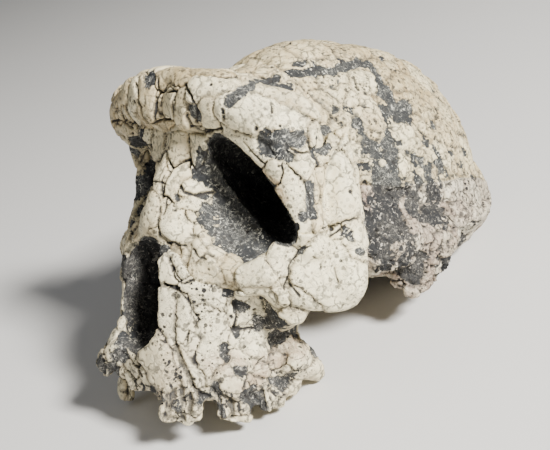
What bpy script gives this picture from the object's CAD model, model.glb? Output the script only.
"""A fossil cranium of an early hominid, life size, dressed with its plates of bone, its cracks
and the grey stone between them. The skull lies on a plain floor as the loose fossil rests.
"""

import math
from types import SimpleNamespace

import bpy
import numpy as np
from mathutils import Matrix, Vector
from mathutils.bvhtree import BVHTree


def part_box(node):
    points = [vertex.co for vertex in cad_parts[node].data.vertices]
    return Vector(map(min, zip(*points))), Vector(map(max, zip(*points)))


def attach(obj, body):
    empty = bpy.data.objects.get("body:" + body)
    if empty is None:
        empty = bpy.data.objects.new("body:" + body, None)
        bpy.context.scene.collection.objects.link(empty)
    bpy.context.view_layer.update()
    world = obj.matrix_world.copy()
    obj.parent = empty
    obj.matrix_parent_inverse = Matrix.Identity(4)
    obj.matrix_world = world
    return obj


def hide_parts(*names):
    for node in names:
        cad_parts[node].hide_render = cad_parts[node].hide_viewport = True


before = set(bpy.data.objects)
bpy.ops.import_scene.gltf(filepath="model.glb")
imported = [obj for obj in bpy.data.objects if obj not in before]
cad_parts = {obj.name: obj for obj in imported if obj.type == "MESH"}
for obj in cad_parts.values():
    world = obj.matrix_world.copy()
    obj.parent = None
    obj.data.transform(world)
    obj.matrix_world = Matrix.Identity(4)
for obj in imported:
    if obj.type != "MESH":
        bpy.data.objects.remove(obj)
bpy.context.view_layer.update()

# How the skull lies. It was modelled upright, in millimetres from the middle of the ears, with X
# to its left, Y back and Z up. It was then tipped back until its molars and the back of its head
# stood on the floor.
REST_PITCH = 24.7
REST_PLACE = np.array([0.0, 19.9, 30.0])
TIP = np.array(Matrix.Rotation(math.radians(-REST_PITCH), 3, "X"))


def upright(room):
    """Places in the room, in metres, as millimetres on the upright skull."""
    return (room * 1000 - REST_PLACE) @ TIP


# Camera: it looks at the skull from its left front, as the photograph does. Its place and angles
# are given on the upright skull, and its focal length in millimetres. Each crack, plate and patch
# of stone below is placed by where it is seen, across and down a picture of 550 by 450, on the
# first bone behind that spot. Where there is none, the bone nearest to the place that lies so many
# metres away behind that spot is taken.
PICTURE = (550, 450)
CAMERA_TURN = 47.0
CAMERA_RISE = 6.6
CAMERA_ROLL = 3.3
CAMERA_PLACE = np.array([272.6, -292.5, 41.5])
FOCAL_LENGTH = 65.45
SENSOR_WIDTH = 36
SKULL_AWAY = 0.4
turn, rise, roll = (math.radians(angle) for angle in (CAMERA_TURN, CAMERA_RISE, CAMERA_ROLL))
back = np.array([math.sin(turn) * math.cos(rise), -math.cos(turn) * math.cos(rise), math.sin(rise)])
level = np.array([math.cos(turn), math.sin(turn), 0])
up = np.cross(back, level)
across = math.cos(roll) * level + math.sin(roll) * up
up = math.cos(roll) * up - math.sin(roll) * level
pose = Matrix.Identity(4)
for column, direction in enumerate((across, up, back)):
    pose.col[column].xyz = TIP @ direction
pose.col[3].xyz = (TIP @ CAMERA_PLACE + REST_PLACE) / 1000
lens = bpy.data.cameras.new("camera")
lens.sensor_width = SENSOR_WIDTH
lens.lens = FOCAL_LENGTH
camera = bpy.data.objects.new("camera", lens)
camera.matrix_world = pose
bpy.context.scene.collection.objects.link(camera)
bpy.context.scene.camera = camera


def tree_of(nodes):
    """The faces of these plain bones, ready to be met by rays."""
    points, faces = [], []
    for node in nodes:
        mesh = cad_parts[node].data
        faces += [[len(points) + corner for corner in face.vertices] for face in mesh.polygons]
        points += [point.co.copy() for point in mesh.vertices]
    return BVHTree.FromPolygons(points, faces)


skull = tree_of(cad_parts)


def on_bone(u, v):
    """The place on the upright skull that is seen this far across and down the picture."""
    focus = FOCAL_LENGTH / SENSOR_WIDTH * PICTURE[0]
    aim = pose.to_3x3() @ Vector(((u - PICTURE[0] / 2) / focus, (PICTURE[1] / 2 - v) / focus, -1))
    met = skull.ray_cast(pose.translation, aim)[0]
    if met is None:
        met = skull.find_nearest(pose.translation + aim * SKULL_AWAY)[0]
    return upright(np.array(met))


# Braincase: the cream roof of the skull, a shell crazed into many small thin plates, with a grey
# band of stone along the line where the jaw muscle began. It is fossil bone split by the rock's
# weight, so each plate is lifted or sunk a little and the cracks between them stay open.
def dice(cells):
    """A repeatable random value from -1 to 1 for each whole-numbered cell."""
    x, y, z = cells.T
    key = x * 73856093 ^ y * 19349663 ^ z * 83492791
    key = (key ^ key >> 13) * 1274126177 & 0x7FFFFFFF
    key = (key ^ key >> 15) * 668265263 & 0x7FFFFFFF
    return key % 65521 / 32760 - 1


def noise(places, size, seed):
    """Smooth random values from -1 to 1 that change over about this many millimetres."""
    spot = places / size + 37.7 + seed * 11.31
    cell = np.floor(spot).astype(np.int64)
    part = spot - cell
    part = part * part * (3 - 2 * part)
    value = np.zeros(len(places))
    for corner in range(8):
        step = np.array([corner & 1, corner >> 1 & 1, corner >> 2 & 1])
        value += dice(cell + step) * np.prod(np.where(step, part, 1 - part), axis=1)
    return value


def scraps(places, size, seed):
    """Small scraps about this many millimetres across: a value for each, and how far its edge is."""
    spot = places / size + 51.3 + seed * 7.13
    cell = np.floor(spot).astype(np.int64)
    first, second = np.full(len(places), 9.0), np.full(len(places), 9.0)
    value = np.zeros(len(places))
    for step in range(27):
        near = cell + (step // 9 - 1, step // 3 % 3 - 1, step % 3 - 1)
        centre = near + 0.5 + 0.45 * np.stack([dice(near + shift) for shift in (0, 331, 977)], axis=1)
        away = np.linalg.norm(centre - spot, axis=1)
        closer = away < first
        second = np.where(closer, first, np.minimum(second, away))
        value = np.where(closer, dice(near + 1733), value)
        first = np.minimum(first, away)
    return value, (second - first) * size / 2


def rough(places, size, seed):
    """Smooth random values with finer ones on top, from about -1 to 1."""
    coarse = noise(places, size, seed)
    medium = noise(places, size / 2.1, seed + 1)
    small = noise(places, size / 4.3, seed + 2)
    return (coarse + medium / 2 + small / 4) / 1.4


def drift(places, size, seed):
    """A smooth random push for each place, up to about 1 each way."""
    return np.stack([noise(places, size, seed + k) for k in (0, 20, 40)], axis=1)


def ease(low, high, value):
    """From 0 at the first value to 1 at the second, with soft ends."""
    part = np.clip((value - low) / (high - low), 0, 1)
    return part * part * (3 - 2 * part)


def from_bars(places, starts, ends):
    """How far each place is from each straight bar, in millimetres."""
    runs = ends - starts
    lengths = np.maximum((runs**2).sum(axis=1), 1e-9)
    away = places[:, None] - starts
    along = np.clip((away * runs).sum(axis=2) / lengths, 0, 1)
    return np.sqrt(((away - along[..., None] * runs) ** 2).sum(axis=2))


# Points this near to each other, in metres, are one point of the solid
SAME_PLACE = 0.000002


def fine_bone(node, spacing):
    """A closed copy of a bone's plain solid with a point every so many millimetres."""
    piece = bpy.data.objects.new(node + "_bone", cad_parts[node].data.copy())
    bpy.context.scene.collection.objects.link(piece)
    bpy.ops.object.select_all(action="DESELECT")
    bpy.context.view_layer.objects.active = piece
    piece.select_set(True)
    bpy.ops.object.mode_set(mode="EDIT")
    bpy.ops.mesh.select_all(action="SELECT")
    bpy.ops.mesh.remove_doubles(threshold=SAME_PLACE)
    bpy.ops.object.mode_set(mode="OBJECT")
    fine = piece.modifiers.new("Fine mesh", "REMESH")
    fine.mode = "VOXEL"
    fine.voxel_size = spacing / 1000
    fine.use_smooth_shade = True
    bpy.ops.object.modifier_apply(modifier=fine.name)
    soft = piece.modifiers.new("Soften", "SMOOTH")
    soft.factor = 0.5
    soft.iterations = 6
    bpy.ops.object.modifier_apply(modifier=soft.name)
    piece.data.materials.clear()
    return piece


# How far across a seam a neighbour is looked for, and how far round its box, in metres
SEAM_REACH = 0.0009
BOX_MARGIN = 0.001


def faces_a_seam(node, room, outward):
    """Which points look at a neighbouring bone across a seam of 0.3 mm."""
    seam = np.zeros(len(room), bool)
    others = [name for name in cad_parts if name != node]
    neighbours = tree_of(others)
    for name in others:
        low, high = np.array(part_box(name))
        close = ~seam & (room > low - BOX_MARGIN).all(axis=1) & (room < high + BOX_MARGIN).all(axis=1)
        for i in np.flatnonzero(close):
            met = neighbours.ray_cast(Vector(room[i]), Vector(outward[i]), SEAM_REACH)[0]
            seam[i] = met is not None
    return seam


# How many places are tried for a loose plate, and how many points are measured at a time
LOOSE_TRIES = 5000
BATCH = 4000


def lay_plates(bone, plates, loose, pick):
    """Rows of the placed plates, then of loose ones wherever there is room for one.

    A row holds the plate's two ends, its half width, lift and tone, and 1 where it is stone.
    """
    spacing, spread, darkest, lightest, stony = loose
    rows = [(*on_bone(u, v), *on_bone(u2, v2), *rest, 0) for u, v, u2, v2, *rest in plates]
    held = np.array([row[:6] for row in rows]).reshape(-1, 6)
    widths = [row[6] for row in rows]
    for i in pick.permutation(len(bone))[:LOOSE_TRIES]:
        near = [math.inf]
        if len(held):
            near = from_bars(bone[i : i + 1], held[:, :3], held[:, 3:])[0] - widths
        if min(near) < spacing * pick.uniform(0.5, 1.1):
            continue
        lean = pick.normal(size=3) * spacing * 0.25
        row = (*(bone[i] - lean), *(bone[i] + lean), pick.exponential(spacing * 0.09))
        held = np.vstack([held, row[:6]])
        widths.append(row[6])
        tone = pick.uniform(darkest, lightest)
        rows.append((*row, pick.normal() * spread, tone, pick.random() < stony))
    return np.array(rows, float)


def nearest_two(places, starts, ends, widths):
    """How far the nearest plate and the next one are from each place, and which they are."""
    count = len(places)
    inner, outer = np.empty(count), np.empty(count)
    mine, other = np.empty(count, int), np.empty(count, int)
    for batch in np.array_split(np.arange(count), count // BATCH + 1):
        away = from_bars(places[batch], starts, ends) - widths
        order = np.argpartition(away, 1, axis=1)[:, :2]
        pair = np.take_along_axis(away, order, axis=1)
        swap = pair[:, 0] > pair[:, 1]
        order[swap], pair[swap] = order[swap][:, ::-1], pair[swap][:, ::-1]
        inner[batch], outer[batch] = pair.T
        mine[batch], other[batch] = order.T
    return inner, outer, mine, other


def crack_into_plates(skin, plates, loose, crack, pick):
    """Lifts and tilts each plate and opens the cracks between them, through a bent space."""
    bone = skin.bone
    table = lay_plates(bone, plates, loose, pick)
    starts, ends, widths = table[:, :3], table[:, 3:6], table[:, 6]
    lifts, tones, fallen = table[:, 7], table[:, 8], table[:, 9]
    crack_width, crack_depth = crack
    skin.bent = bone + 1.3 * drift(bone, 8, 0) + 0.8 * drift(bone, 3, 3) + 0.4 * drift(bone, 1.3, 4)
    inner, outer, mine, other = nearest_two(skin.bent, starts, ends, widths)
    edge = (outer - inner) / 2
    width = crack_width * (0.9 + 1.1 * noise(bone, 7, 7))
    gap = (1 - ease(0.2, 1.0, edge / np.maximum(width, 0.12))) * ease(-0.7, 0.3, rough(bone, 9, 9))
    share = 0.5 + 0.5 * ease(0, 0.6, edge)
    lift = lifts[mine] * share + lifts[other] * (1 - share)
    centres = (starts + ends) / 2
    slopes = pick.normal(size=(len(table), 3)) * 0.08
    lift += np.clip(((bone - centres[mine]) * slopes[mine]).sum(axis=1), -0.7, 0.7)
    groove = np.exp(-edge / 0.8)
    lift += 0.4 * (1 - np.exp(-edge / 2.2)) - 0.2 - crack_depth * gap - 0.4 * groove
    skin.lift, skin.gap, skin.groove = lift, gap, groove
    skin.tone = tones[mine] + 0.12 * rough(bone, 5, 11)
    skin.rust = 0.45 * groove
    skin.torn = rough(bone, 2.2, 13)
    skin.stone = 0.9 * fallen[mine] * ease(-0.2, 1.2, edge + 0.4 * skin.torn)


# Where the left ear opens. Nearer to an ear than the first distance the bone has all crumbled,
# and past the second it is whole.
EAR = (44, -12, 8)
CRUMBLED_WITHIN = 25
WHOLE_PAST = 62


def crumble(skin, crumbs):
    """Small scraps, thickest beside the ears, and larger blocks there."""
    bone = skin.bone
    on_one_side = np.abs(bone) * (1, 0, 0) + bone * (0, 1, 1)
    by_ear = ease(WHOLE_PAST, CRUMBLED_WITHIN, np.linalg.norm(on_one_side - EAR, axis=1))
    height, rim = scraps(bone + 1.2 * drift(bone, 2.5, 31), 4.2, 33)
    scrappy = ease(-0.2, 0.6, rough(bone, 11, 35) + 0.8 * by_ear) * (0.3 + 0.7 * by_ear)
    skin.lift += crumbs * scrappy * (0.8 * height - 1.2 * np.exp(-rim / 0.35))
    skin.tone += 0.2 * scrappy * height * min(1, 3 * crumbs)
    block, cleft = scraps(bone + 2.2 * drift(bone, 6, 41), 10.5, 43)
    skin.lift += crumbs * by_ear * (1.9 * block - 1.1 * np.exp(-cleft / 0.8))
    skin.by_ear, skin.height, skin.block = by_ear, height, block


def lay_stone(skin, stones, rubble):
    """Stone in placed patches and among the rubble. The blocks beside the ears stay free of it."""
    bone, by_ear, block, torn = skin.bone, skin.by_ear, skin.block, skin.torn
    if rubble:
        crumbled = rough(bone, 3.4, 25) + 0.5 * rough(bone, 14, 27) + 0.25 * skin.groove
        crumbled -= 0.3 * skin.height + 0.5 * block * by_ear
        edge_of = 0.75 - rubble * (0.2 + 0.8 * by_ear)
        skin.stone = np.maximum(skin.stone, 0.9 * ease(edge_of - 0.2, edge_of + 0.35, crumbled))
    strayed = skin.bent + 1.6 * drift(bone, 5, 51)
    for u, v, radius in stones:
        near = 1 - np.linalg.norm(strayed - on_bone(u, v), axis=1) / radius
        skin.stone = np.maximum(skin.stone, ease(-0.45, 0.35, near + 0.45 * torn))
    skin.stone *= 1 - by_ear * ease(0.15, 0.55, block + 0.3 * torn)
    skin.rust = np.maximum(skin.rust, 0.6 * by_ear * ease(0.2, 0.8, block))
    skin.gap *= 1 - 0.85 * skin.stone


# What each kind of scar does: half width and depth in millimetres, and its share of crack
# colour, of stone and of brown stain
SCARS = {
    "gap": (0.75, 1.2, 0.9, 0.0, 0.3),
    "hair": (0.55, 0.5, 0.8, 0.0, 0.2),
    "band": (3.0, 0.3, 0.0, 1.0, 0.2),
    "grime": (5.5, 0.2, 0.0, 0.45, 0.4),
    "dent": (3.2, 1.6, 0.0, 0.9, 0.2),
    "brown": (1.6, 0.0, 0.0, 0.0, 1.0),
    "pink": (5.0, 0.0, 0.0, 0.0, 0.8),
    "swell": (5.0, -1.2, 0.0, 0.0, 0.0),
    "groove": (1.6, 1.3, 0.5, 0.0, 0.2),
}


def carve_scars(skin, scars):
    """Carves and colours each scar along its run of places."""
    swerved = skin.bone + 0.6 * drift(skin.bone, 3, 15)
    for kind, path in scars:
        half, depth, dark, grey, brown = SCARS[kind]
        path = np.array([on_bone(u, v) for u, v in path])
        near = from_bars(swerved, path[:-1], path[1:]).min(axis=1)
        inside = 1 - ease(0.35 * half, half, near)
        skin.lift -= depth * inside
        skin.gap = np.maximum(skin.gap, dark * inside)
        skin.stone = np.maximum(skin.stone, grey * ease(-0.1, 0.9, inside + 0.35 * skin.torn))
        skin.rust = np.maximum(skin.rust, brown * (1 - ease(0.3 * half, 1.6 * half, near)))


# How boxy the hollows are: 2 would be round
HOLLOW_SQUARENESS = 2.35


def darken_hollows(skin, hollows):
    """Dark stone on the walls of the hollows, which are balls swollen a little towards boxes."""
    for x, y, z, *rest in hollows:
        half_sizes, turns = rest[:3], rest[3:]
        spin = Matrix.Identity(3)
        for degrees, axis in zip(turns, "XYZ"):
            spin = Matrix.Rotation(math.radians(degrees), 3, axis) @ spin
        place = np.abs((skin.bone - (x, y, z)) @ np.array(spin)) / half_sizes
        reach = (place**HOLLOW_SQUARENESS).sum(axis=1) ** (1 / HOLLOW_SQUARENESS)
        deep = 1 - ease(1.03, 1.12, reach)
        skin.stone = np.maximum(skin.stone, deep)
        skin.gap = np.maximum(skin.gap, deep * (0.38 + 0.3 * skin.torn))


def wear(skin, grain, pits, pick):
    """Sinks the stone below the bone, and adds round pits and the finest roughness."""
    sunk = ease(0.3, 0.7, skin.stone)
    uneven = (0.4 + grain) * skin.torn + grain * noise(skin.bone, 6, 37)
    skin.lift = skin.lift * (1 - 0.5 * sunk) - sunk * (0.55 - uneven)
    for i in pick.integers(0, len(skin.bone), pits):
        size = pick.uniform(0.45, 1.0)
        near = np.linalg.norm(skin.bone - skin.bone[i], axis=1)
        inside = 1 - ease(0.4 * size, size, near)
        skin.lift -= 0.7 * size * inside
        skin.gap = np.maximum(skin.gap, 0.9 * inside)
    skin.lift += grain * rough(skin.bone, 2.0, 21) + 0.1


# How high the inside and the lips of a seam stand, in millimetres, and over how many neighbours
# in a row the surroundings of a dip are levelled
SEAM_LIFT = 0.13
LIP_LIFT = 0.36
DUST_ROUNDS = 10


def close_seams(skin, mesh, seam):
    """Closes up the lips of a seam, and lays dust wherever the surface dips below its surroundings."""
    edges = np.empty(len(mesh.edges) * 2, np.int32)
    mesh.edges.foreach_get("vertices", edges)
    edges = edges.reshape(-1, 2)
    point, next_point = np.vstack([edges, edges[:, ::-1]]).T
    beside = np.maximum(np.bincount(point, minlength=len(seam)), 1)

    def around(values):
        """The mean of these values over each point's neighbours."""
        return np.bincount(point, values[next_point], len(seam)) / beside

    skin.lift[seam] = SEAM_LIFT
    inland = around(around(around(seam.astype(float))))
    skin.lift[seam & (inland < 0.98)] = LIP_LIFT
    level = skin.lift.copy()
    for _ in range(DUST_ROUNDS):
        level = around(level)
    skin.dust = ease(0.0, 0.22, level - skin.lift)
    skin.dust[seam] *= 0.3


# The lowest that any point may lie, in metres, so that no crumb dips into the floor
LOWEST = 0.00002


def break_up(
    piece,
    node,
    plates,
    loose,
    crack,
    stones=(),
    scars=(),
    hollows=(),
    pits=0,
    grain=0.12,
    rubble=0.0,
    crumbs=0.1,
    seed=0,
):
    """Breaks a bone's surface into lifted plates with cracks, stone, scars and pits.

    A plate is a bar between two places in the picture, with a half width and a lift in
    millimetres and a tone from 0, tan, to 1, white. Loose plates fill what the placed ones leave:
    (spacing, spread of lift, darkest, lightest, stone share). A crack is (half width, depth). A
    stone patch is a place in the picture and a radius. A scar is a kind and its run of places. A
    hollow is a centre on the upright skull, three half sizes and three turns in degrees, and its
    walls are dark. Pits is how many round pits there are, and grain the height of the finest
    roughness. Rubble is how much of the bone beside the ears has crumbled among stone, and crumbs
    is how high its small scraps stand. Another seed gives other loose plates, slopes and pits.
    """
    mesh = piece.data
    room = np.empty(len(mesh.vertices) * 3, np.float32)
    mesh.vertices.foreach_get("co", room)
    room = room.reshape(-1, 3).astype(float)
    outward = np.empty(len(mesh.vertices) * 3, np.float32)
    mesh.vertex_normals.foreach_get("vector", outward)
    outward = outward.reshape(-1, 3).astype(float)
    pick = np.random.default_rng(seed)

    skin = SimpleNamespace(bone=upright(room))
    crack_into_plates(skin, plates, loose, crack, pick)
    crumble(skin, crumbs)
    lay_stone(skin, stones, rubble)
    carve_scars(skin, scars)
    darken_hollows(skin, hollows)
    wear(skin, grain, pits, pick)
    close_seams(skin, mesh, faces_a_seam(node, room, outward))

    room += outward * skin.lift[:, None] / 1000
    room[:, 2] = np.maximum(room[:, 2], LOWEST)
    mesh.vertices.foreach_set("co", room.astype(np.float32).ravel())
    mesh.update()
    for name in ("gap", "stone", "tone", "rust", "dust"):
        values = getattr(skin, name)
        layer = mesh.attributes.new(name, "FLOAT", "POINT")
        layer.data.foreach_set("value", np.clip(values, 0, 1).astype(np.float32))


# The look that all the bones share: tan to pale plates, stone and cracks, painted by the layers
# that break_up leaves on each bone. Its sizes are counts of cells to a metre, and its bands are
# shares from 0 to 1.
weathered = bpy.data.node_groups.new("weathered_bone", "ShaderNodeTree")


def put(socket, value):
    """Links the socket to another one, or sets it to a plain value."""
    if isinstance(value, bpy.types.NodeSocket):
        weathered.links.new(value, socket)
    else:
        socket.default_value = value


def node_of(kind, **inputs):
    """A new node of the shared look, with these inputs."""
    made = weathered.nodes.new("ShaderNode" + kind)
    for name, value in inputs.items():
        put(made.inputs[name.replace("_", " ")], value)
    return made


def cloud(scale, detail, roughness=0.5, distortion=0.0):
    """Noise over the bone, with this many cells to a metre."""
    made = node_of("TexNoise", Vector=spot, Scale=scale, Detail=detail, Roughness=roughness)
    made.inputs["Distortion"].default_value = distortion
    return made.outputs["Fac"]


def maths(operation, *values):
    """A sum on one to three values. Only an addition is held between 0 and 1."""
    made = weathered.nodes.new("ShaderNodeMath")
    made.operation = operation
    made.use_clamp = operation == "ADD"
    for socket, value in zip(made.inputs, values):
        put(socket, value)
    return made.outputs["Value"]


def times(*values):
    """The product of two or more masks."""
    product = values[0]
    for value in values[1:]:
        product = maths("MULTIPLY", product, value)
    return product


def band(value, low, high, start=0.0, end=1.0):
    """The value's way from low to high, as a straight run from start to end."""
    made = node_of("MapRange", Value=value, From_Min=low, From_Max=high, To_Min=start, To_Max=end)
    return made.outputs["Result"]


def blend(share, first, second):
    """The first colour, with this share of the second laid over it."""
    made = weathered.nodes.new("ShaderNodeMix")
    made.data_type = "RGBA"
    put(made.inputs["Factor"], share)
    put(made.inputs[6], first)
    put(made.inputs[7], second)
    return made.outputs[2]


def layer_of(name):
    """A layer that break_up left on the bone, from 0 to 1."""
    made = weathered.nodes.new("ShaderNodeAttribute")
    made.attribute_name = name
    return made.outputs["Fac"]


for name, kind in (
    ("Pale", "NodeSocketColor"),
    ("Tan", "NodeSocketColor"),
    ("Stone", "NodeSocketColor"),
    ("Stone flakes", "NodeSocketColor"),
    ("Crack", "NodeSocketColor"),
    ("Rust", "NodeSocketColor"),
    ("Specks", "NodeSocketFloat"),
    ("Grey stain", "NodeSocketFloat"),
    ("Dust", "NodeSocketFloat"),
):
    weathered.interface.new_socket(name, in_out="INPUT", socket_type=kind)
for name, kind in (
    ("Color", "NodeSocketColor"),
    ("Roughness", "NodeSocketFloat"),
    ("Height", "NodeSocketFloat"),
):
    weathered.interface.new_socket(name, in_out="OUTPUT", socket_type=kind)
given = weathered.nodes.new("NodeGroupInput").outputs
result = weathered.nodes.new("NodeGroupOutput").inputs
spot = weathered.nodes.new("ShaderNodeTexCoord").outputs["Object"]
broad = cloud(90.0, 4.0)
middling = cloud(420.0, 5.0, 0.62, 0.6)
fine = cloud(1500.0, 4.0, 0.65)
veins = cloud(230.0, 7.0, 0.66, 1.6)
sprinkle = cloud(520.0, 4.0, 0.6, 1.6)

tone = maths("ADD", layer_of("tone"), band(middling, 0.3, 0.7, -0.3, 0.3))
colour = blend(tone, given["Tan"], given["Pale"])
colour = blend(band(fine, 0.5, 0.75, 0.0, 0.35), colour, given["Tan"])
rusty = times(layer_of("rust"), band(veins, 0.35, 0.65, 0.25, 1.0))
colour = blend(rusty, colour, given["Rust"])

# Thin grey veins and crazing that cross a plate without opening it
vein = maths("ABSOLUTE", maths("SUBTRACT", veins, 0.5))
vein = times(band(vein, 0.004, 0.02, 1.0, 0.0), band(broad, 0.42, 0.56))
swerved = weathered.nodes.new("ShaderNodeVectorMath")
swerved.operation = "MULTIPLY_ADD"
put(swerved.inputs[0], node_of("TexNoise", Vector=spot, Scale=300.0, Detail=4.0).outputs["Color"])
put(swerved.inputs[1], (0.005, 0.005, 0.005))
put(swerved.inputs[2], spot)
swerved = swerved.outputs["Vector"]
crazing = node_of("TexVoronoi", Vector=swerved, Scale=170.0)
crazing.feature = "DISTANCE_TO_EDGE"
crazed = times(band(crazing.outputs["Distance"], 0.02, 0.085, 1.0, 0.0), band(middling, 0.4, 0.52))
crazed = times(crazed, band(broad, 0.6, 0.48, 0.15, 1.0))
thin = times(maths("MAXIMUM", vein, crazed), given["Grey stain"])
colour = blend(thin, colour, given["Crack"])

# Dark dust that has settled in every dip
dusty = times(layer_of("dust"), band(middling, 0.3, 0.62, 0.35, 1.0), given["Dust"])
colour = blend(dusty, colour, given["Crack"])

# Stone: charcoal, with a sprinkling of small pale flakes and curved threads
flakes = times(band(sprinkle, 0.57, 0.61), band(veins, 0.45, 0.55, 0.15, 1.0))
rock = blend(band(fine, 0.4, 0.8, 0.0, 0.07), given["Stone"], given["Stone flakes"])
rock = blend(band(middling, 0.3, 0.5, 0.7, 0.0), rock, given["Crack"])
rock = blend(band(broad, 0.4, 0.65, 0.0, 0.05), rock, given["Stone flakes"])
rock = blend(maths("MAXIMUM", flakes, times(vein, 0.6)), rock, given["Stone flakes"])
torn = maths("MULTIPLY_ADD", sprinkle, 0.45, times(middling, 0.9))
stony = band(maths("SUBTRACT", layer_of("stone"), band(torn, 0.475, 0.875, -0.42, 0.42)), 0.42, 0.58)
colour = blend(stony, colour, rock)

# Black specks of many sizes, and the open cracks themselves. Each set of specks has so many cells
# to a metre, a least and a most reach within a cell, and a share of cells that stay empty.
SPECK_SETS = ((400.0, 0.14, 0.4, 0.25), (640.0, 0.2, 0.4, 0.45))
small = 0.0
for cells, least, most, empty in SPECK_SETS:
    dots = node_of("TexVoronoi", Vector=spot, Scale=cells)
    chosen = node_of("SeparateColor", Color=dots.outputs["Color"]).outputs
    within = maths("SUBTRACT", band(chosen["Green"], 0.0, 1.0, least, most), dots.outputs["Distance"])
    within = maths("ADD", within, band(fine, 0.3, 0.7, -0.08, 0.08))
    dot = times(band(within, 0.0, 0.06), maths("GREATER_THAN", chosen["Red"], empty))
    small = maths("MAXIMUM", small, dot)
small = times(small, band(broad, 0.35, 0.6, 0.35, 1.0), given["Specks"])
opened = band(maths("ADD", layer_of("gap"), band(fine, 0.3, 0.7, -0.18, 0.18)), 0.15, 0.75)
dark = maths("MAXIMUM", small, opened)
colour = blend(dark, colour, given["Crack"])
put(result["Color"], colour)
put(result["Roughness"], band(maths("MAXIMUM", stony, dark), 0.0, 1.0, 0.5, 0.85))
height = maths("MULTIPLY_ADD", fine, 0.35, times(middling, 0.5))
put(result["Height"], maths("SUBTRACT", height, times(maths("MAXIMUM", dark, thin), 0.8)))


# Height of the relief that only the light shows, in metres
FINE_RELIEF = 0.0004


def bone_finish(name, pale, tan, stone, flakes, crack, rust, specks, stain, dust, relief):
    """Dry fossil bone: satin cream plates, dull stone, dark open cracks."""
    finish = bpy.data.materials.new(name)
    finish.use_nodes = True
    tree = finish.node_tree
    shader = tree.nodes["Principled BSDF"]
    shader.inputs["Specular IOR Level"].default_value = 0.3
    surface = tree.nodes.new("ShaderNodeGroup")
    surface.node_tree = weathered
    for socket, value in zip(surface.inputs, (pale, tan, stone, flakes, crack, rust, specks, stain, dust)):
        socket.default_value = value if isinstance(value, float) else (*value, 1)
    tree.links.new(surface.outputs["Color"], shader.inputs["Base Color"])
    tree.links.new(surface.outputs["Roughness"], shader.inputs["Roughness"])
    bump = tree.nodes.new("ShaderNodeBump")
    bump.inputs["Strength"].default_value = relief
    bump.inputs["Distance"].default_value = FINE_RELIEF
    tree.links.new(surface.outputs["Height"], bump.inputs["Height"])
    tree.links.new(bump.outputs["Normal"], shader.inputs["Normal"])
    return finish


# The braincase's own colours, then its plates, stone and scars by their places in the picture
vault_finish = bone_finish(
    "vault_bone",
    pale=(0.86, 0.77, 0.50),
    tan=(0.46, 0.35, 0.18),
    stone=(0.021, 0.023, 0.025),
    flakes=(0.50, 0.49, 0.42),
    crack=(0.028, 0.027, 0.026),
    rust=(0.34, 0.24, 0.13),
    specks=0.9,
    stain=0.75,
    dust=0.8,
    relief=0.6,
)
VAULT_PLATES = [
    (268, 58, 292, 60, 2.5, 0.2, 0.45), (300, 54, 326, 50, 2, 0.3, 0.45),
    (334, 50, 362, 50, 2, 0.2, 0.3), (334, 62, 350, 64, 1, 0.1, 0.5),
    (306, 62, 312, 62, 0, 0.4, 0.8), (290, 74, 306, 76, 1, 0.1, 0.4),
    (327, 76, 348, 74, 1, 0.4, 0.8), (354, 76, 366, 90, 1.5, 0.5, 0.9),
    (372, 60, 384, 64, 1, -0.2, 0.3), (376, 56, 400, 64, 1.5, 0.1, 0.2),
    (336, 92, 342, 90, 0, 0.3, 0.8), (350, 98, 354, 100, 0, 0.3, 0.8),
    (326, 98, 332, 104, 0, 0.2, 0.6), (344, 112, 352, 116, 0, 0.2, 0.7),
    (358, 110, 364, 116, 0, 0.1, 0.7), (366, 98, 374, 104, 0, 0.3, 0.85),
    (332, 122, 340, 130, 0, 0, 0.5), (350, 128, 360, 132, 0, 0, 0.6),
    (320, 112, 326, 118, 0, 0, 0.5), (340, 142, 354, 148, 1, 0.3, 0.9),
    (346, 162, 380, 164, 1.5, 0.6, 0.9), (404, 128, 410, 154, 2, 0.6, 0.9),
    (392, 122, 398, 120, 0, 0.3, 0.8), (418, 100, 436, 120, 3, 0, 0.3),
    (404, 80, 424, 92, 3, 0, 0.25), (438, 122, 450, 142, 3, 0.1, 0.45),
    (416, 128, 428, 136, 1.5, 0.2, 0.5), (430, 148, 446, 150, 1, 0.2, 0.8),
    (420, 158, 424, 168, 1, 0.3, 0.8), (454, 152, 460, 158, 1, 0, 0.5),
    (330, 154, 342, 156, 0, 0.1, 0.9), (380, 100, 392, 106, 0, -0.6, 0.2),
]
# Stone on the side of the skull, which runs on over the skull base and the ear
SIDE_STONE = [
    (318, 66, 2.6), (302, 62, 2), (384, 90, 4.5), (392, 102, 4.5), (400, 112, 4.5), (384, 112, 4.5),
    (378, 124, 5), (372, 134, 5), (384, 140, 6), (374, 148, 5), (392, 150, 5), (404, 106, 4),
    (318, 116, 2.5), (324, 128, 2.5), (346, 108, 2), (354, 122, 2), (334, 108, 1.6), (424, 146, 3),
    (436, 154, 4), (444, 162, 3), (452, 150, 3), (448, 142, 3), (430, 168, 3), (394, 165, 4),
    (410, 200, 6), (420, 214, 5), (436, 214, 5), (446, 220, 4), (436, 200, 4), (428, 230, 5),
    (424, 256, 6), (432, 264, 5), (436, 246, 4), (416, 240, 5), (452, 258, 3), (430, 244, 4),
    (350, 180, 4), (360, 174, 4), (384, 176, 6), (394, 184, 6), (386, 192, 5), (392, 204, 7),
    (386, 218, 7), (396, 226, 7), (402, 196, 6), (372, 224, 5), (360, 232, 4), (370, 240, 5),
    (366, 256, 5), (380, 250, 5), (392, 246, 4), (404, 260, 6), (412, 272, 6), (400, 272, 5),
    (394, 264, 5), (412, 250, 5),
]
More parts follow.
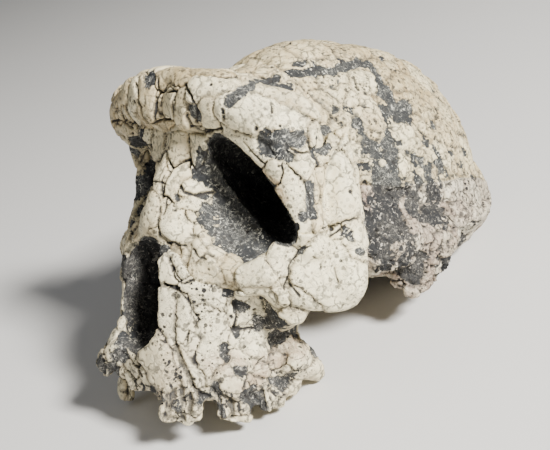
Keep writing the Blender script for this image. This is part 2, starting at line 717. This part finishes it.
VAULT_SCARS = [
    ("band", [(262, 79), (280, 76), (298, 73), (316, 72), (334, 71)]),
    ("band", [(340, 68), (356, 63), (370, 62)]),
    ("band", [(370, 64), (380, 78), (390, 94), (400, 110)]),
    ("gap", [(322, 72), (324, 80), (330, 86)]),
    ("hair", [(328, 42), (325, 55), (322, 60)]),
    ("hair", [(338, 56), (342, 64)]),
    ("gap", [(352, 76), (358, 90)]),
    ("hair", [(366, 74), (370, 92)]),
    ("hair", [(262, 84), (280, 96), (300, 110), (310, 122)]),
    ("hair", [(270, 82), (292, 92), (308, 104)]),
    ("gap", [(340, 166), (350, 172), (368, 173)]),
    ("gap", [(396, 162), (400, 168), (401, 178)]),
    ("hair", [(400, 150), (410, 160), (412, 174)]),
    ("hair", [(412, 120), (420, 132), (432, 140)]),
]
braincase = fine_bone("braincase", spacing=0.72)
break_up(
    braincase,
    "braincase",
    VAULT_PLATES,
    loose=(15, 0.35, 0.35, 0.8, 0.04),
    crack=(0.2, 0.5),
    stones=SIDE_STONE,
    scars=VAULT_SCARS,
    pits=160,
    grain=0.25,
    rubble=0.32,
    crumbs=0.5,
    seed=3,
)
braincase.data.materials.append(vault_finish)
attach(braincase, "root")
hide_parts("braincase")

# Skull base: the neck muscles' crest round the back of the head, the hole for the spinal cord
# and the keel under the brain. The bone here is grey and pink, half lost in rough stone.
base_finish = bone_finish(
    "base_bone",
    pale=(0.74, 0.68, 0.52),
    tan=(0.36, 0.29, 0.21),
    stone=(0.019, 0.020, 0.022),
    flakes=(0.42, 0.39, 0.33),
    crack=(0.022, 0.021, 0.021),
    rust=(0.34, 0.22, 0.17),
    specks=1.0,
    stain=0.85,
    dust=0.9,
    relief=0.8,
)
BASE_PLATES = [
    (444, 170, 462, 180, 2, 0.3, 0.8), (430, 186, 446, 192, 2, 0.2, 0.7),
    (470, 186, 478, 200, 2, 0.2, 0.7), (456, 200, 470, 210, 1, 0.1, 0.6),
    (432, 206, 448, 210, 0, 0.1, 0.3), (476, 214, 482, 222, 1, 0.2, 0.7),
    (462, 228, 470, 234, 1, 0.1, 0.7), (440, 226, 452, 236, 1, 0.2, 0.8),
    (440, 256, 446, 272, 1, 0.4, 0.9), (424, 240, 432, 250, 0, 0.2, 0.6),
    (412, 230, 420, 240, 0, 0.1, 0.4),
]
BASE_SCARS = [
    ("hair", [(420, 176), (430, 172), (440, 166)]),
    ("gap", [(438, 212), (448, 210)]),
    ("hair", [(412, 200), (410, 220)]),
    ("hair", [(440, 252), (448, 250)]),
    ("hair", [(462, 190), (462, 204)]),
]
base = fine_bone("skull_base", spacing=0.62)
break_up(
    base,
    "skull_base",
    BASE_PLATES,
    loose=(12, 0.45, 0.25, 0.8, 0.1),
    crack=(0.24, 0.6),
    stones=SIDE_STONE,
    scars=BASE_SCARS,
    pits=120,
    grain=0.35,
    rubble=0.32,
    crumbs=0.5,
    seed=5,
)
base.data.materials.append(base_finish)
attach(base, "root")
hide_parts("skull_base")

# Temporal bones: the ear regions, with the root of the cheek's arch and the mastoid's tip. Both
# are mostly rubble of grey stone, with a few raised scraps of pinkish bone.
EAR_PLATES = [
    (368, 186, 380, 200, 2, 0.8, 0.8), (352, 178, 366, 180, 0, -0.4, 0.3),
    (362, 206, 376, 214, 0, 0.3, 0.5), (352, 222, 366, 226, 0, 0, 0.4),
    (384, 232, 402, 234, 1, 0.5, 0.6), (362, 244, 372, 256, 0, 0.2, 0.4),
    (372, 266, 384, 276, 0, 0.2, 0.5), (392, 210, 398, 228, 0, 0, 0.2),
    (408, 292, 412, 296, 1, 0.3, 0.8), (398, 252, 412, 256, 1, -0.2, 0.2),
    (420, 268, 430, 276, 0, 0, 0.4), (392, 176, 400, 176, 0, -0.6, 0.1),
]
EAR_SCARS = [
    ("gap", [(352, 173), (368, 173), (374, 180)]),
    ("gap", [(360, 204), (366, 210), (372, 214)]),
    ("hair", [(380, 186), (388, 196)]),
    ("gap", [(388, 272), (390, 280)]),
    ("pink", [(352, 210), (372, 214)]),
    ("pink", [(376, 240), (366, 252)]),
    ("pink", [(368, 190), (374, 204)]),
]
ears = (
    ("left", EAR_PLATES, SIDE_STONE, EAR_SCARS, 7),
    ("right", [], [], [], 8),
)
for side, plates, stones, scars, seed in ears:
    ear = fine_bone("temporal_" + side, spacing=0.55)
    break_up(
        ear,
        "temporal_" + side,
        plates,
        loose=(7, 0.6, 0.2, 0.75, 0.2),
        crack=(0.3, 0.8),
        stones=stones,
        scars=scars,
        pits=50,
        grain=0.4,
        rubble=0.32,
        crumbs=0.55,
        seed=seed,
    )
    ear.data.materials.append(base_finish)
    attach(ear, "root")
    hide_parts("temporal_" + side)

# Brow ridge: one thick bar above both sockets. Its front is a row of upright tan plates, its
# left end one broad white plate with a hollow of rubble, and its right end thin shingles.
brow_finish = bone_finish(
    "brow_bone",
    pale=(0.92, 0.84, 0.58),
    tan=(0.54, 0.42, 0.22),
    stone=(0.024, 0.026, 0.029),
    flakes=(0.52, 0.51, 0.44),
    crack=(0.03, 0.028, 0.026),
    rust=(0.40, 0.27, 0.13),
    specks=0.75,
    stain=0.7,
    dust=0.65,
    relief=0.5,
)
# The sockets' hollows: the left one's slit along its outer wall, and the whole right one
SOCKETS = [
    (27.2, -73.5, 15, 6.5, 30, 21, 0, -42, 45),
    (-28, -86, 12.5, 14.5, 28, 15.5, 0, 0, -14),
]
BROW_PLATES = [
    (145, 86, 148, 114, 1, 0.5, 0.35), (159, 97, 161, 116, 0, 0.35, 0.4),
    (181, 92, 180, 122, 1.5, 0.5, 0.45), (198, 90, 224, 84, 3, 0.3, 0.8),
    (208, 106, 211, 126, 2, 0.5, 0.8), (194, 106, 195, 122, 0, -0.3, 0.5),
    (165, 74, 186, 77, 2, 0.1, 0.2), (194, 71, 220, 72, 2, 0, 0.25),
    (168, 86, 178, 85, 0, 0.2, 0.4), (133, 90, 131, 118, 0, 0.2, 0.8),
    (127, 88, 125, 118, 0, 0.35, 0.35), (121, 94, 118, 120, 0, 0, 0.3),
    (115, 102, 112, 122, 0, 0.3, 0.3), (117, 129, 131, 131, 0.5, 0.6, 0.4),
    (110, 128, 114, 136, 0, -0.4, 0.4), (142, 122, 152, 128, 0, -0.4, 0.1),
    (160, 122, 174, 124, 0, -0.8, 0.1), (240, 110, 286, 128, 8, 0.5, 0.95),
    (232, 134, 258, 152, 3.5, 0.4, 0.95), (268, 168, 282, 178, 2, 0.3, 0.9),
    (286, 178, 294, 214, 2.5, 0.3, 0.95), (262, 88, 304, 104, 4, 0, 0.65),
    (290, 150, 304, 168, 2, 0.1, 0.9), (300, 120, 312, 132, 2, 0, 0.8),
    (246, 68, 256, 62, 1, 0, 0.3), (228, 62, 232, 66, 0, 0.6, 0.35),
    (213, 139, 216, 144, 0, 0.2, 0.7),
]
# Stone on the face, which runs on over the bridge and the cheekbones
FACE_STONE = [
    (149, 77, 3.5), (194, 112, 3), (222, 116, 2.2), (266, 144, 3.2), (276, 142, 3), (288, 141, 3),
    (300, 141, 2.8), (282, 156, 2.8), (272, 150, 2.5), (316, 150, 3), (322, 146, 2.8),
    (318, 160, 2), (312, 190, 2), (310, 205, 2.2), (306, 216, 2.2), (116, 140, 4), (128, 146, 4),
    (210, 134, 1.5), (330, 130, 3), (204, 160, 3), (212, 170, 4), (198, 172, 3), (212, 182, 3),
    (222, 180, 4), (232, 190, 4), (226, 204, 4.5), (240, 210, 5), (236, 224, 6), (250, 226, 6),
    (246, 240, 6), (262, 240, 6), (256, 254, 5), (232, 240, 5), (210, 212, 4), (208, 224, 3),
    (216, 232, 3), (222, 242, 3), (206, 196, 2.5), (160, 250, 2.5), (136, 196, 5), (140, 184, 4),
    (176, 198, 1.5), (296, 226, 1.5), (300, 252, 1.5), (350, 236, 2), (360, 250, 2),
]
BROW_SCARS = [
    ("band", [(230, 101), (238, 93), (248, 86), (262, 80), (276, 77)]),
    ("gap", [(137, 84), (139, 96), (142, 106), (144, 116), (150, 122)]),
    ("gap", [(144, 117), (152, 123), (160, 122), (170, 120), (178, 125), (186, 129)]),
    ("gap", [(188, 86), (192, 96), (196, 106), (193, 118), (196, 126)]),
    ("gap", [(186, 129), (193, 129), (200, 132), (206, 134)]),
    ("gap", [(158, 80), (160, 91), (156, 100), (154, 114), (155, 120)]),
    ("gap", [(160, 91), (172, 91), (176, 90), (172, 100), (172, 118)]),
    ("gap", [(176, 90), (184, 84), (188, 84)]),
    ("gap", [(198, 128), (206, 133), (216, 130), (222, 128)]),
    ("gap", [(112, 134), (124, 137), (134, 134)]),
    ("gap", [(112, 120), (122, 121), (134, 128)]),
    ("hair", [(118, 84), (112, 104), (110, 120)]),
    ("hair", [(123, 80), (117, 104), (118, 120)]),
    ("hair", [(130, 82), (124, 104), (126, 122)]),
    ("dent", [(262, 142), (275, 139), (290, 140), (302, 140)]),
    ("dent", [(268, 150), (282, 154), (290, 158)]),
    ("dent", [(312, 186), (312, 200), (314, 212)]),
    ("gap", [(312, 192), (314, 208)]),
    ("gap", [(318, 156), (319, 166)]),
    ("hair", [(270, 103), (271, 112)]),
    ("hair", [(244, 140), (256, 156), (264, 164)]),
    ("brown", [(262, 134), (280, 133), (300, 136), (308, 140)]),
    ("brown", [(224, 150), (244, 160), (262, 172), (276, 184), (284, 198)]),
    ("gap", [(222, 164), (214, 156)]),
]
brow = fine_bone("brow_ridge", spacing=0.46)
break_up(
    brow,
    "brow_ridge",
    BROW_PLATES,
    loose=(9, 0.4, 0.35, 0.8, 0.05),
    crack=(0.24, 0.8),
    stones=FACE_STONE,
    scars=BROW_SCARS,
    hollows=SOCKETS,
    pits=60,
    crumbs=0.12,
    seed=11,
)
brow.data.materials.append(brow_finish)
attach(brow, "root")
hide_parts("brow_ridge")

# Nasal bridge: the pillar between the sockets, the nasal bones and the sockets' inner walls,
# with the grey stone that fills the left socket, left rough by the preparer's needle.
# The hollow of the nose is dark inside.
NOSE = [(-2, -90, -24, 11, 20, 19, 0, 0, 0)]
BRIDGE_PLATES = [
    (157, 130, 160, 152, 1, 0.4, 0.7), (160, 164, 163, 178, 1, 0.4, 0.65),
    (178, 132, 176, 158, 1.5, 0.2, 0.6), (198, 136, 196, 164, 1.5, 0.5, 0.9),
    (180, 168, 168, 192, 1.2, 0.3, 0.7), (186, 190, 212, 188, 0, 0.3, 0.9),
    (182, 204, 197, 206, 0, 0.3, 0.9), (174, 222, 182, 232, 3, 0.5, 0.95),
    (156, 206, 143, 244, 1.5, 0.5, 0.7), (166, 196, 160, 206, 0, 0.2, 0.7),
    (190, 219, 191, 220, 0, 0.1, 0.8), (197, 229, 198, 230, 0, 0.2, 0.85),
    (188, 234, 189, 235, 0, 0.1, 0.75), (204, 216, 205, 217, 0, 0.1, 0.8),
    (206, 238, 207, 240, 0, 0.2, 0.8), (145, 250, 150, 253, 0, 0.4, 0.7),
    (166, 252, 172, 250, 0, -0.5, 0.3), (206, 226, 208, 228, 0, -0.1, 0.7),
]
BRIDGE_SCARS = [
    ("gap", [(165, 128), (165, 150), (170, 164), (172, 168)]),
    ("gap", [(189, 128), (190, 150), (189, 166)]),
    ("gap", [(172, 168), (180, 162), (189, 158)]),
    ("gap", [(190, 160), (196, 170), (204, 168), (208, 150)]),
    ("hair", [(155, 182), (162, 184), (164, 176)]),
    ("gap", [(162, 184), (162, 198)]),
    ("gap", [(172, 168), (166, 180), (164, 192)]),
    ("gap", [(181, 186), (184, 194), (200, 195), (214, 193)]),
    ("hair", [(160, 206), (158, 222), (160, 236), (166, 242), (184, 244), (194, 250)]),
    ("hair", [(166, 196), (166, 206), (162, 216)]),
    ("gap", [(142, 252), (152, 254), (160, 258)]),
    ("hair", [(194, 250), (200, 258), (206, 260)]),
    ("brown", [(138, 236), (146, 252)]),
]
bridge = fine_bone("nasal_bridge", spacing=0.55)
break_up(
    bridge,
    "nasal_bridge",
    BRIDGE_PLATES,
    loose=(7, 0.4, 0.4, 0.8, 0.12),
    crack=(0.24, 0.8),
    stones=FACE_STONE,
    scars=BRIDGE_SCARS,
    hollows=SOCKETS + NOSE,
    pits=40,
    crumbs=0.2,
    seed=13,
)
bridge.data.materials.append(brow_finish)
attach(bridge, "root")
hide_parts("nasal_bridge")

# Cheekbones: smooth near-white plates that face out and forward, with only fine scratches and
# one seam round the swollen corner. The right one is more broken.
CHEEK_PLATES = [
    (250, 270, 268, 282, 1.5, 0.2, 0.95), (285, 262, 290, 252, 2, 0.1, 0.95),
    (300, 236, 334, 230, 3, 0.1, 0.95), (322, 262, 334, 282, 9, 0.5, 1),
    (300, 300, 312, 306, 3, 0.3, 0.95), (280, 290, 286, 300, 1, 0.2, 0.95),
    (326, 176, 334, 214, 5, 0.4, 1), (320, 160, 326, 170, 1, 0.1, 0.9),
    (346, 226, 356, 250, 2, 0.2, 0.95),
]
CHEEK_SCARS = [
    ("hair", [(345, 225), (330, 235), (310, 245), (297, 252), (290, 265), (285, 290)]),
    ("hair", [(296, 228), (310, 229), (326, 228)]),
    ("hair", [(314, 256), (320, 266)]),
    ("hair", [(334, 268), (338, 280)]),
    ("hair", [(292, 284), (298, 296)]),
]
RIGHT_CHEEK_STONE = [(126, 205, 4)]
cheeks = (
    ("left", CHEEK_PLATES, (13, 0.2, 0.75, 0.95, 0.0), FACE_STONE, CHEEK_SCARS, 17),
    ("right", [], (8, 0.35, 0.35, 0.85, 0.15), RIGHT_CHEEK_STONE, [], 18),
)
for side, plates, loose, stones, scars, seed in cheeks:
    cheek = fine_bone("cheekbone_" + side, spacing=0.46)
    break_up(
        cheek,
        "cheekbone_" + side,
        plates,
        loose=loose,
        crack=(0.2, 0.4),
        stones=stones,
        scars=scars,
        hollows=SOCKETS,
        pits=50,
        crumbs=0.1,
        seed=seed,
    )
    cheek.data.materials.append(brow_finish)
    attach(cheek, "root")
    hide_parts("cheekbone_" + side)

# Upper jaw with its teeth: white plates below the socket, a tan swelling over the front tooth's
# root, a pink fibrous band over the molars, and worn, broken teeth with dark grooves.
jaw_finish = bone_finish(
    "jaw_bone",
    pale=(0.92, 0.84, 0.59),
    tan=(0.50, 0.42, 0.26),
    stone=(0.024, 0.026, 0.028),
    flakes=(0.50, 0.47, 0.40),
    crack=(0.028, 0.026, 0.025),
    rust=(0.38, 0.26, 0.18),
    specks=1.0,
    stain=0.75,
    dust=0.85,
    relief=0.6,
)
JAW_PLATES = [
    (176, 252, 188, 270, 2.5, 0.3, 0.95), (163, 262, 169, 282, 1, 0.3, 0.9),
    (200, 240, 207, 260, 0, 0.2, 0.7), (226, 254, 230, 274, 2, 0.2, 0.95),
    (214, 262, 214, 280, 0, -0.2, 0.6), (192, 286, 218, 300, 3, 0.3, 0.95),
    (169, 293, 168, 326, 2, 0.4, 0.95), (182, 298, 184, 328, 1.5, 0.3, 0.95),
    (212, 322, 206, 360, 4, 0.5, 0.95), (196, 340, 196, 372, 1, 0.4, 0.95),
    (245, 292, 248, 318, 2, 0.3, 0.95), (224, 296, 232, 318, 1, 0.2, 0.9),
    (256, 282, 262, 292, 1, 0.1, 0.9), (243, 336, 262, 346, 2.5, 0.3, 0.95),
    (238, 360, 258, 364, 2, 0.4, 0.85), (150, 348, 164, 382, 4, 0.7, 0.4),
    (178, 360, 180, 386, 0, 0.2, 0.5), (220, 372, 232, 386, 3, 0.6, 0.6),
    (143, 372, 148, 386, 0, 0.3, 0.6), (252, 376, 262, 384, 0, -0.3, 0.3),
    (272, 356, 284, 352, 0, -0.2, 0.3), (294, 346, 305, 364, 2, 0.2, 0.8),
    (284, 374, 312, 372, 1, 0.3, 0.8), (140, 264, 142, 276, 0, 0, 0.5),
    (134, 290, 138, 306, 1, 0, 0.6), (130, 320, 134, 334, 1, 0, 0.6),
    (142, 310, 148, 326, 0, 0, 0.5), (118, 348, 112, 368, 1, 0.2, 0.6),
    (104, 362, 103, 372, 0, 0.3, 0.5), (118, 376, 106, 378, 0, 0, 0.5),
    (128, 344, 132, 358, 0, 0.2, 0.5),
]
JAW_STONE = [
    (243, 272, 1.6), (214, 276, 1.6), (226, 292, 2.2), (237, 304, 2.4), (234, 330, 1.8),
    (227, 346, 2.2), (229, 357, 2.4), (242, 372, 2.2), (270, 312, 4.4), (264, 322, 4.4),
    (276, 322, 4.6), (284, 314, 4), (280, 334, 4), (290, 318, 3), (212, 388, 3.4), (204, 396, 3),
    (250, 392, 4), (258, 400, 3.5), (284, 380, 3), (276, 376, 2), (142, 266, 4), (140, 280, 3),
    (146, 300, 4.5), (136, 304, 4), (146, 320, 4), (120, 356, 3.5), (114, 372, 3), (126, 340, 3),
    (104, 366, 3), (222, 410, 2.5), (214, 410, 2.5),
]
JAW_SCARS = [
    ("grime", [(132, 390), (160, 396), (200, 398), (240, 400)]),
    ("grime", [(240, 402), (262, 396), (284, 378), (300, 372)]),
    ("grime", [(174, 372), (180, 388)]),
    ("gap", [(164, 284), (172, 288), (180, 288)]),
    ("hair", [(170, 258), (176, 272), (182, 284)]),
    ("gap", [(184, 284), (200, 276), (210, 272)]),
    ("hair", [(208, 262), (212, 276), (218, 284), (230, 288)]),
    ("hair", [(180, 290), (190, 306), (196, 314), (200, 320)]),
    ("hair", [(196, 316), (206, 312), (216, 312)]),
    ("hair", [(200, 320), (190, 330), (188, 344)]),
    ("gap", [(234, 290), (234, 304), (236, 318), (234, 330)]),
    ("gap", [(234, 332), (246, 330), (256, 330)]),
    ("gap", [(244, 262), (246, 280)]),
    ("hair", [(160, 340), (172, 350), (182, 356)]),
    ("groove", [(176, 348), (182, 362), (188, 376), (192, 386)]),
    ("gap", [(136, 344), (136, 362), (142, 376)]),
    ("gap", [(150, 394), (162, 392)]),
    ("gap", [(192, 386), (200, 394), (210, 398)]),
    ("gap", [(246, 396), (254, 400)]),
    ("hair", [(262, 358), (250, 372), (242, 388)]),
    ("groove", [(168, 394), (168, 418)]),
    ("groove", [(173, 392), (174, 420)]),
    ("groove", [(181, 390), (181, 422)]),
    ("groove", [(190, 396), (190, 412)]),
    ("hair", [(165, 400), (165, 416)]),
    ("gap", [(204, 396), (204, 412)]),
    ("groove", [(214, 404), (215, 418)]),
    ("groove", [(219, 402), (220, 420)]),
    ("hair", [(226, 404), (227, 422)]),
    ("groove", [(233, 402), (234, 420)]),
    ("hair", [(241, 404), (242, 418)]),
    ("groove", [(262, 392), (263, 408)]),
    ("gap", [(272, 398), (273, 408)]),
    ("hair", [(256, 394), (258, 404)]),
    ("pink", [(250, 384), (262, 370), (276, 356)]),
    ("pink", [(292, 350), (296, 340)]),
    ("pink", [(216, 366), (232, 364)]),
    ("swell", [(112, 352), (104, 368)]),
]
jaw = fine_bone("upper_jaw", spacing=0.57)
break_up(
    jaw,
    "upper_jaw",
    JAW_PLATES,
    loose=(8, 0.45, 0.45, 0.85, 0.1),
    crack=(0.24, 0.7),
    stones=JAW_STONE + FACE_STONE,
    scars=JAW_SCARS,
    hollows=NOSE,
    pits=160,
    grain=0.15,
    crumbs=0.2,
    seed=19,
)
jaw.data.materials.append(jaw_finish)
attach(jaw, "root")
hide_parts("upper_jaw")

# Floor and light: a plain pale floor, a strong soft lamp high on the camera's right, and a wide
# weak one on its left.
bpy.ops.mesh.primitive_plane_add(size=6)
floor = bpy.context.object
floor.name = "floor"
pale_floor = bpy.data.materials.new("pale_floor")
pale_floor.use_nodes = True
paint = pale_floor.node_tree.nodes["Principled BSDF"].inputs
paint["Base Color"].default_value = (0.72, 0.71, 0.69, 1)
paint["Roughness"].default_value = 0.8
floor.data.materials.append(pale_floor)


SKULL_MIDDLE = Vector((0, -0.02, 0.055))


def soft_lamp(name, right, height, away, size, watts, tint):
    """A square lamp placed from the skull's middle by the camera's own directions, in metres."""
    light = bpy.data.lights.new(name, "AREA")
    light.size = size
    light.energy = watts
    light.color = tint
    lamp = bpy.data.objects.new(name, light)
    aside = pose.to_3x3() @ Vector((right, height, away))
    lamp.location = SKULL_MIDDLE + aside
    lamp.rotation_euler = aside.to_track_quat("Z", "Y").to_euler()
    bpy.context.scene.collection.objects.link(lamp)


soft_lamp("main_lamp", right=0.58, height=0.66, away=1.12, size=0.26, watts=66, tint=(1, 0.98, 0.94))
soft_lamp("fill_lamp", right=-0.8, height=0.5, away=0.45, size=0.8, watts=1.2, tint=(0.97, 0.98, 1))
world = bpy.data.worlds.new("studio")
world.use_nodes = True
glow = world.node_tree.nodes["Background"].inputs
glow["Color"].default_value = (0.9, 0.92, 0.95, 1)
glow["Strength"].default_value = 0.14
bpy.context.scene.world = world
